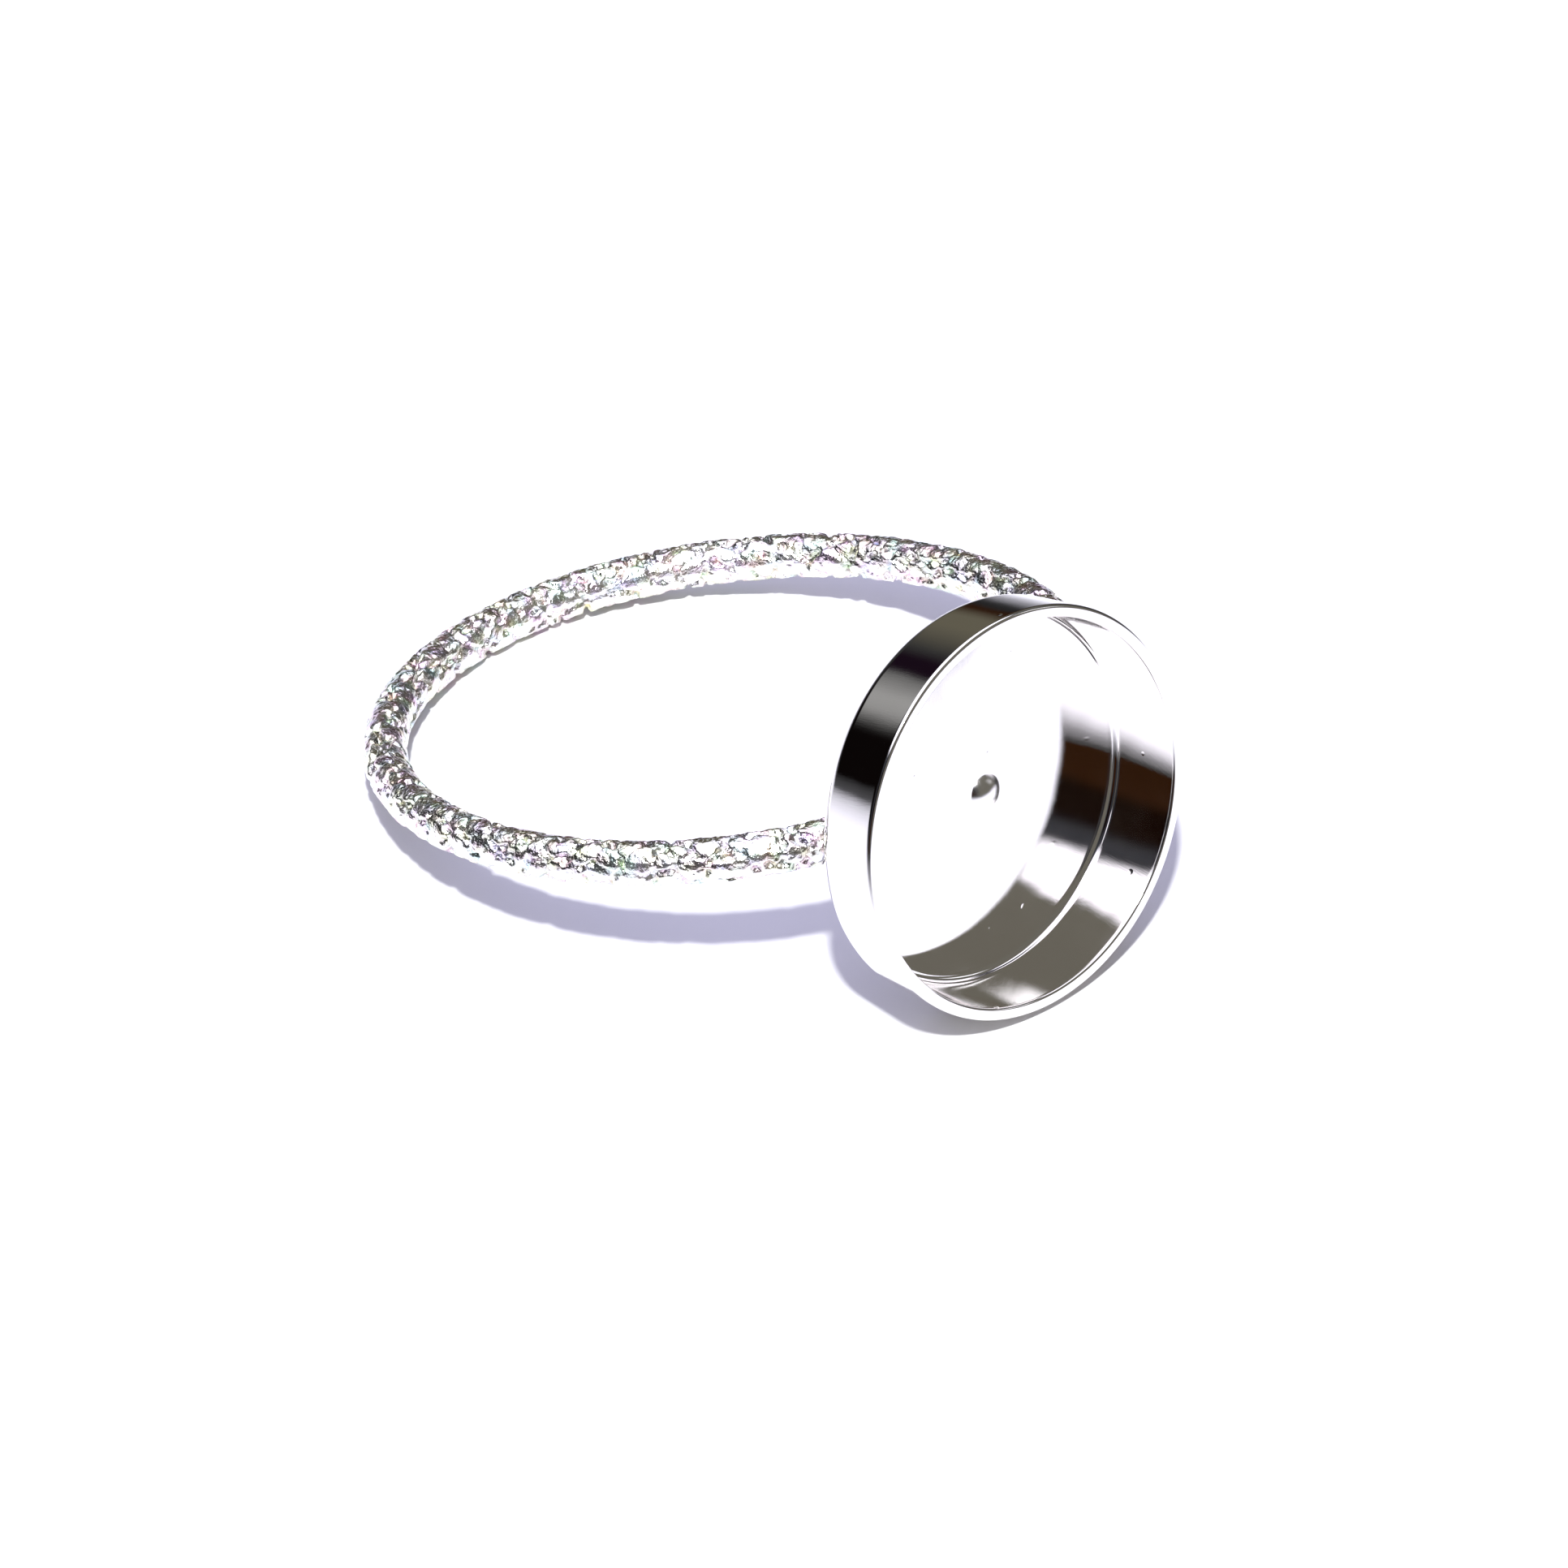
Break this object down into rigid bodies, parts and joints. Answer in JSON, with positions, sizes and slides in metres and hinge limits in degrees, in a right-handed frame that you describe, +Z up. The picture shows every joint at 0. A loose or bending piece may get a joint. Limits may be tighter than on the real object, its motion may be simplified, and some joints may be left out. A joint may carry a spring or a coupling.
{
  "type": "bezel cup ring blank",
  "caption": "Ring blank with a band of faceted round wire and a shallow round bezel cup soldered to its outside, ready for a flat-backed stone to be set.",
  "frame": {"origin": "middle of the part's box, on the surface that it lies on", "axes": "+X towards the cup, along the part's length; +Y across the band; +Z up. The part lies in its resting tilt, on the back edge of the cup and the far side of the band."},
  "size_m": [0.0222, 0.0196, 0.0112],
  "materials": {
    "silver": "polished"
  },
  "bodies": {
    "root": {"ring_blank": "silver"}
  },
  "joints": []
}
